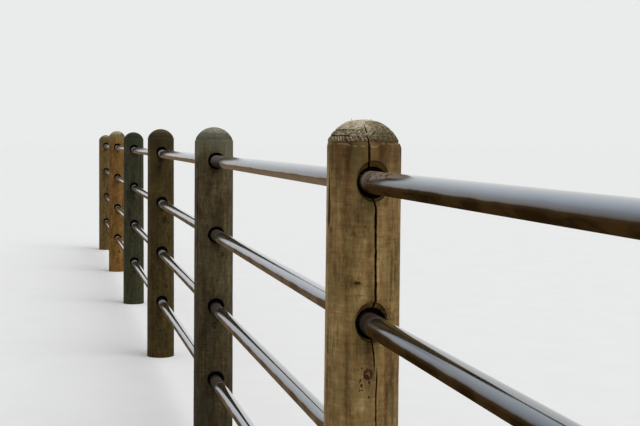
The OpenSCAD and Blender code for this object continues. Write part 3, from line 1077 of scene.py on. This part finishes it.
def side_material(post, tone):
    """Weathered long grain, with mottles, stains, hairline checks and knots"""
    m = Material(f"{post.name}_side")
    seed = post.number * 3.7
    here = m.place()
    wavy = m.vectors("ADD", here.turn(m.marked("bend")), m.wave(here, seed))
    noises = {name: m.noise((wavy if follows else here).stretch(*stretch), scale, detail, rough, seed + more)
              for name, (follows, stretch, scale, detail, rough, more) in SIDE_NOISES.items()}
    height = here.part(2)
    near_top = height + noises["blotches"].swing(0.12)
    top_stain = near_top.smooth(post.top_z - 0.16, post.top_z - 0.07)
    light = sum((noises[name].swing(amount) for name, amount in TONE_SWINGS.items()), 0.5)
    light += m.marked("tone") * 0.20 - top_stain * tone["stain"] - height.smooth(0.95, 0.35) * tone["foot"]
    colour = m.ramp(light, (0.10, tone["deep"]), (0.34, tone["dark"]), (0.52, tone["base"]),
                    (0.72, tone["light"]), (0.96, tone["pale"]))
    colour = m.mix(noises["tint"].smooth(0.45, 0.62) * 0.30, colour, tone["tint"])
    colour = m.mix(noises["ruddy"].smooth(0.52, 0.70) * 0.22, colour, tone["ruddy"])
    if not post.near:
        green = near_top.smooth(post.top_z - 0.14, post.top_z - 0.05)
        colour = m.mix(green * 0.75, colour, m.mix(noises["lines"], tone["top_dark"], tone["moss"]))
    hairline = noises["contour"].off(0.5).smooth(0.008, 0.002) * noises["sparse"].smooth(0.50, 0.62)
    colour = m.mix(hairline * 0.6, colour, tone["crack"])
    # A pale line just under the side's top edge: a painted highlight where the worn shoulder catches the
    # light
    edge_highlight = m.marked("edge").off(0.0004).smooth(0.0028, 0.0004) * noises["mottles"].smooth(0.40, 0.60)
    colour = m.mix(edge_highlight * 0.34, colour, tone["pale"])
    colour, core = knots(m, post, tone, colour, noises["specks"])
    relief = (noises["streaks"] * 0.5 + noises["lines"] * 0.6 + noises["specks"] * 0.3
              + noises["saw_marks"] * 0.3 - hairline * 1.2 - core * 0.5)
    return m.finish(colour, noises["lines"] * 0.16 + 0.74, 0.12, (relief, 0.55, 0.0014))


def knots(m, post, tone, colour, specks):
    """Adds knots: a ragged dark ring, darker on one side, round lighter wood"""
    here = m.place()
    nearest, solid = 3.0, 3.0
    for turn, height, half_w, half_h, strength in post.knots:
        a = math.radians(turn)
        r = post.side_r(height)
        off = m.vectors("SUBTRACT", here, (r * math.cos(a), r * math.sin(a), height))
        away = off.turn(-a).stretch(20, 1 / half_w, 1 / half_h).length() + 1.2 * (1 - strength)
        if min(half_w, half_h) < SMALL_KNOT:
            solid = away.least(solid)
        else:
            nearest = away.least(nearest)
    uneven = specks.swing(0.8) + m.noise(here, 320, 3, 0.7, 3.3).swing(2.0)
    ragged = uneven + nearest
    ring = ragged.smooth(1.25, 1.05) * ragged.smooth(0.45, 0.70)
    ring = ring.most((uneven + solid).smooth(1.25, 1.0))
    colour = m.mix(ragged.smooth(2.4, 1.2) * 0.30, colour, tone["dark"])
    colour = m.mix(ragged.smooth(1.15, 0.8) * 0.35, colour, tone["dark"])
    return m.mix(ring * 0.95, colour, tone["knot"]), ring


def top_material(post, tone):
    """Bleached, torn timber of the dome, darkened in its hollows by painted shade and dirt, lighter where it
    faces up by painted light from above, and mossy on one side
    """
    m = Material(f"{post.name}_top")
    seed = post.number * 5.1
    here = m.place()
    fine = m.noise(here.stretch(1, 1, 0.35), 520, 2, 0.6, seed)
    patches = m.noise(here.stretch(1, 1, 0.6), 60, 3, 0.6, seed + 1)
    # How far the dome faces up, which paints light from above onto its top
    up = m.field("TexCoord", output="Normal").part(2)
    moss = m.marked("moss")
    # Darker in the hollows, as painted shade and dirt, and lighter where the dome faces up, as painted light
    # from above
    light = (0.44 - m.marked("hollow") * 0.62 + fine.swing(0.46 if post.near else 0.2)
             + patches.swing(0.50) + up.smooth(0.45, 0.90) * 0.34 - moss * 0.12)
    colour = m.ramp(light, (0.02, tone["top_deep"]), (0.30, tone["top_dark"]),
                    (0.58, tone["top"]), (0.92, tone["top_pale"]))
    patchy = (moss + patches.swing(0.8)).smooth(0.3, 0.8) * 0.55
    green = m.mix(fine.smooth(0.35, 0.7), tone["top_deep"], tone["moss"])
    return m.finish(m.mix(patchy, colour, green), 0.88, 0.2, (fine + patches * 0.5, 0.6, 0.0010))


def cut_material(post, tone):
    """Timber inside a bore or a check: nearly black as painted shade, and less dark where a check meets the
    side
    """
    m = Material(f"{post.name}_cut")
    here = m.place()
    streaks = m.noise(here.stretch(1, 1, 0.15), 150, 3, 0.6, post.number * 2.3)
    colour = m.ramp(streaks, (0.35, srgb(7, 5, 3)), (0.70, tone["crack"]))
    from_axis = here.stretch(1, 1, 0).length()
    lit = from_axis.smooth(post.base_r - 0.026, post.base_r - 0.006) * m.marked("bore").smooth(0.9, 0.1)
    return m.finish(m.mix(lit * 0.6, colour, tone["ruddy"]), 0.9, 0.1, (streaks, 0.4, 0.001))


def facing_material(post, tone):
    """The dished facings: darker than the side, more orange lower down the post, with a painted shadow line
    just inside their rims
    """
    m = Material(f"{post.name}_facing")
    here = m.place()
    patches = m.noise(here, 70, 3, 0.6, 1.4)
    fine = m.noise(here.stretch(1, 1, 0.5), 420, 2, 0.6, 2.4)
    light = 0.5 + patches.swing(0.9) + fine.swing(0.5)
    olive = m.ramp(light, (0.2, tone["crack"]), (0.55, tone["cut"]), (0.9, tone["dark"]))
    orange = m.ramp(light, (0.15, tone["crack"]), (0.50, tone["cut_low"]), (0.9, tone["light"]))
    colour = m.mix(here.part(2).smooth(1.20, 1.08), olive, orange)
    # A painted shadow line just inside each facing's rim
    colour = m.mix(m.marked("rim").smooth(0.90, 0.98) * 0.8, colour, tone["crack"])
    return m.finish(colour, 0.8, 0.2, (patches + fine, 0.5, 0.001))


class Steel(Material):
    """Bright tube with painted reflections: of a sky brighter towards the crest, of the rail above as a dark
    band on the lower tubes, of the ground as a brown band underneath, and of the post through dirt that
    darkens the steel beside it; and with painted shade in and beside the posts

    Height is a share of the tube's radius above its axis, and apart is the distance from the
    nearest post's axis along the fence.
    """

    def __init__(self):
        super().__init__("bright_steel")
        here = self.place()
        x = here.part(0)
        self.smudge = self.noise(here.stretch(0.35, 1, 1), 30, 3, 0.6)
        self.cloud = self.noise(here.stretch(0.4, 1, 1), 8, 2, 0.5, 4.0)
        self.drawn = self.noise(here.stretch(0.01, 1, 1), 700, 2, 0.6, 2.0)
        self.spots = self.noise(here.stretch(0.6, 1, 1), 110, 3, 0.6, 6.0)
        self.height = here.part(2) * (1 / TUBE_R)
        self.apart = self.math("PINGPONG", x, BAY / 2)
        self.to_post = self.apart + self.smudge.swing(0.05)
        self.dust = self.marked("dust")
        self.beyond = x.smooth(*PAST_POST_2)
        self.far = x.smooth(*FAR_BAYS)
        self.third = x.smooth(*BY_POST_3[0]) * x.smooth(*BY_POST_3[1])
        self.tone = shader_tones(TUBE_TONES)

    def over_ground_reflection(self):
        """Height above the top of the painted ground reflection, which is another one near a post"""
        rise = self.dust * 0.25 - 0.30 + (self.third + self.far) * 0.45
        rise = rise * self.apart.smooth(0.45, 0.12) + self.beyond * self.dust * 0.08
        return self.height - self.marked("film_top") + rise

    def shade_by_post(self):
        """Share of the zone in and beside a post that is painted shade over dull, non-metallic steel"""
        reach = self.third * (self.dust * 0.17 + 0.04) + self.dust.smooth(1.0, 0.5) * 0.02
        return (self.to_post - reach).smooth(0.128, 0.104)

    def dusty(self):
        """Share of dust, in a tongue on the top rail's crest and all round the far tubes by a post"""
        crest = self.height + self.spots.swing(0.3) - self.apart * 2.0
        tongue = (self.to_post + self.spots.swing(0.1)).smooth(0.38, 0.32) * crest.smooth(-0.06, 0.18)
        all_round = self.far * (self.to_post - self.height * 0.04).smooth(0.24, 0.14)
        return (tongue * self.dust.smooth(0.5, 1.0)).most(all_round)

    def steel_reflection_colour(self):
        # A painted sky reflection: the steel is brighter towards the crest, and dimmer on the tubes whose
        # shine is lower
        shade = self.height + self.smudge.swing(0.14) + self.drawn.swing(0.14)
        sky_reflection = self.mix(self.marked("shine"), BLACK, self.ramp(shade * 0.5 + 0.5, *STEEL_REFLECTION_TONES))
        # A dark band under the crest of the lower tubes in the nearest bay, away from the posts: a painted
        # reflection of the rail above
        rail_reflection = self.height.smooth(0.52, 0.66) * self.height.smooth(0.985, 0.93)
        rail_reflection = rail_reflection * self.apart.smooth(0.75, 0.45) * self.dust.smooth(1.0, 0.5) * (1 - self.beyond)
        return self.mix(rail_reflection * 0.85, sky_reflection, RAIL_REFLECTION_TONE)

    def dirt_colour(self):
        tone = self.tone
        dirt = self.mix(self.spots.smooth(0.36, 0.52), tone["dirt_low"], tone["dirt"])
        dirt = self.mix(self.dust, tone["dirt_thin"], dirt)
        dirt = self.mix(self.beyond, dirt, tone["dirt_beyond"])
        return self.mix(self.far * self.height.smooth(0.5, -0.6), dirt, tone["dirt_far"])

    def ground_reflection_colour(self, over_ground_reflection):
        # Colour of the painted reflection of the ground, paler beyond post 2 and towards its top edge
        tone = self.tone
        smudged = self.smudge.smooth(0.38, 0.62)
        beyond = self.mix(smudged, tone["reflected_ground_beyond"], tone["reflected_ground_light"])
        beyond = self.mix(self.dust * 0.7, beyond, tone["reflected_ground_pale"])
        reflected_ground = self.mix(self.beyond, self.mix(smudged, tone["reflected_ground_dark"], tone["reflected_ground"]), beyond)
        edge = over_ground_reflection.smooth(-0.45, 0.0) * (self.apart.smooth(0.5, 0.15) * 0.35 + 0.45)
        return self.mix(edge, reflected_ground, tone["reflected_ground_edge"])

    def shade_by_post_colour(self):
        tone = self.tone
        # Painted shade: near black in the bores of the lower rails, darker towards the underside, and
        # lighter inside the top rail's bore than just outside it, against the bore's shade
        worn = self.mix(self.apart.smooth(0.074, 0.096), tone["painted_light_inner"], tone["worn"])
        worn = self.mix((self.height + self.spots.swing(0.3)).smooth(-0.75, 0.5), tone["under"], worn)
        dark = self.mix(self.spots.smooth(0.45, 0.6), tone["dark"], tone["shade_spot"])
        dark = self.mix(self.apart.smooth(0.085, 0.13), dark, tone["shade_outer"])
        beyond = self.mix(self.height.smooth(-0.6, 0.8), tone["beyond_under"], tone["lit_crest_beyond"])
        worn = self.mix(self.beyond, worn, beyond)
        return self.mix(self.dust.smooth(0.2, 1.0) * 0.85 + 0.15, dark, worn)

    def build(self):
        over_ground_reflection, shade_by_post, dusty = self.over_ground_reflection(), self.shade_by_post(), self.dusty()
        # The brown band on the underside is a painted reflection of the ground, and is not metallic
        ground_reflection_share = (over_ground_reflection + self.smudge.swing(0.20) + self.cloud.swing(0.12)).smooth(0.10, -0.12)
        # Dirt by the posts, which also darkens the steel there as a painted reflection of the post
        post_reflection_and_dirt = (self.to_post + self.spots.swing(0.05)).smooth(0.24, 0.13)
        dirt = self.dirt_colour()
        colour = self.mix(post_reflection_and_dirt * 0.35, self.steel_reflection_colour(), dirt)
        colour = self.mix(dusty, colour, dirt)
        colour = self.mix(ground_reflection_share, colour, self.ground_reflection_colour(over_ground_reflection))
        colour = self.mix(shade_by_post, colour, self.shade_by_post_colour())
        metallic = (1 - ground_reflection_share.most(dusty * 0.75)) * (1 - shade_by_post)
        relief = self.drawn + self.smudge * 2.0 + self.spots * post_reflection_and_dirt * 3.0
        roughness = 0.12 + self.drawn.swing(0.08) + post_reflection_and_dirt * 0.16
        return self.finish(colour, roughness, metallic * 0.5, (relief, 0.08, 0.0004), metallic)


def floor_material():
    m = Material("floor")
    colour = m.mix(m.noise(m.place(), 3, 3, 0.5), srgb(232, 232, 231), srgb(238, 238, 237))
    return m.finish(colour, 0.9, 0.1)


def build_floor():
    mesh = bpy.data.meshes.new("floor")
    corners = [(FLOOR_HALF * x, FLOOR_HALF * y, 0) for x, y in ((-1, -1), (1, -1), (1, 1), (-1, 1))]
    mesh.from_pydata(corners, [], [(0, 1, 2, 3)])
    mesh.materials.append(floor_material())
    floor = new_object("floor", mesh)


def build_lights():
    """A soft key light, plain light all round, and a pale backdrop for the camera and reflections"""
    key = bpy.data.lights.new("soft_key", "SUN")
    key.energy = KEY_ENERGY
    key.angle = KEY_ANGLE
    lamp = new_object("soft_key", key)
    lamp.rotation_mode = "QUATERNION"
    lamp.rotation_quaternion = Vector(KEY_FROM).to_track_quat("Z", "Y")

    world = bpy.data.worlds.new("studio")
    bpy.context.scene.world = world
    world.use_nodes = True
    world.node_tree.nodes.clear()
    w = Nodes(world.node_tree)
    rays = w.node("LightPath").outputs
    seen = w.math("MAXIMUM", rays["Is Camera Ray"], rays["Is Glossy Ray"]).most(rays["Is Transmission Ray"])
    ambient = w.field("Background", {"Color": AMBIENT, "Strength": AMBIENT_STRENGTH})
    backdrop = w.field("Background", {"Color": srgb(234, 235, 235)})
    w.node("OutputWorld", {0: w.field("MixShader", {0: seen, 1: ambient, 2: backdrop})})
    bpy.context.scene.view_settings.view_transform = "Standard"


def build_camera():
    data = bpy.data.cameras.new("camera")
    data.sensor_fit = "HORIZONTAL"
    data.sensor_width = SENSOR_WIDTH
    data.lens = CAMERA_LENS
    camera = new_object("camera", data)
    forward = Vector((-math.cos(CAMERA_YAW) * math.cos(CAMERA_PITCH),
                      math.sin(CAMERA_YAW) * math.cos(CAMERA_PITCH), -math.sin(CAMERA_PITCH)))
    level = Vector((math.sin(CAMERA_YAW), math.cos(CAMERA_YAW), 0))
    upright = level.cross(forward)
    right = level * math.cos(CAMERA_ROLL) + upright * math.sin(CAMERA_ROLL)
    up = upright * math.cos(CAMERA_ROLL) - level * math.sin(CAMERA_ROLL)
    turned = Matrix((right, up, -forward)).transposed().to_4x4()
    camera.matrix_world = Matrix.Translation(CAMERA_AT) @ turned
    bpy.context.scene.camera = camera


STEEL = Steel().build()

build_camera()
build_floor()
build_lights()
for number in range(1, sum(name.startswith("post_") for name in frame["nodes"]) + 1):
    build_post(Post(number))
for rail, axis_z, film_top in zip(RAILS, RAIL_Z, GROUND_REFLECTION_TOPS):
    for node in sorted(name for name in frame["nodes"] if name.startswith(rail)):
        build_tube(node, axis_z, film_top, TOP_DUST_AND_PAINTED_LIGHT if rail == RAILS[0] else DUST_AND_PAINTED_LIGHT)
